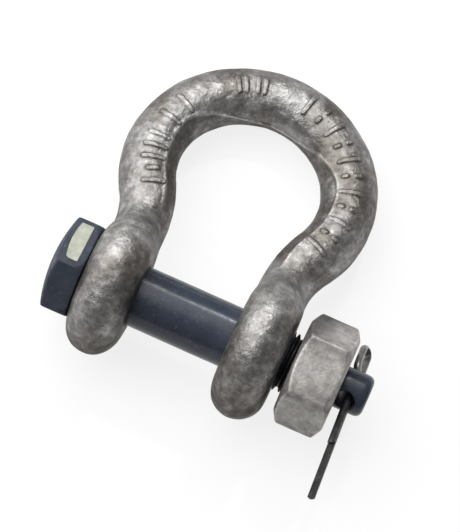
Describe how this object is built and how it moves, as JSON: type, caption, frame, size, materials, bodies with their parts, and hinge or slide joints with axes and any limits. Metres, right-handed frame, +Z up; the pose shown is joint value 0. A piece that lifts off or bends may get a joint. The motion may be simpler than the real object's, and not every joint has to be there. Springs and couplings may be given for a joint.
{
  "type": "safety bow shackle",
  "caption": "Forged bow shackle with a wide rounded bow, closed by a hexagon-head bolt, nut and split pin, for joining lifting and mooring gear.",
  "frame": {"origin": "on the pin axis, midway between the ears", "axes": "+X along the bolt from its head to its nut, +Y from the bolt towards the crown, +Z up from the surface that the shackle lies on"},
  "size_m": [0.1515, 0.191, 0.0657],
  "materials": {
    "galvanised_forging": "mottled hot-dip zinc over a forged surface",
    "galvanised_nut": "matt hot-dip zinc",
    "painted_steel": "glossy blue-grey paint",
    "dark_wire": "dark drawn steel wire",
    "label": "worn cream sticker with nothing printed on it"
  },
  "bodies": {
    "bow": {"bow": "galvanised_forging"},
    "bolt": {"bolt": "painted_steel"},
    "nut": {"nut": "galvanised_nut"},
    "split_pin": {"split_pin": "dark_wire"}
  },
  "joints": [
    {"name": "bolt_spin", "type": "hinge", "parent": "bow", "child": "bolt", "pos_m": [0, 0, 0], "axis": [1, 0, 0], "range_deg": [0, 504]},
    {"name": "nut_travel", "type": "slide", "parent": "bow", "child": "nut", "axis": [-1, 0, 0], "range_m": [0, 0.0042]},
    {"name": "split_pin_pull", "type": "slide", "parent": "bolt", "child": "split_pin", "axis": [-0.0349, 0.8789, -0.4758], "range_m": [0, 0.078]}
  ],
  "couplings": [
    {"joint": "nut_travel", "follows": "bolt_spin", "m_per_rad": 0.00047746}
  ]
}
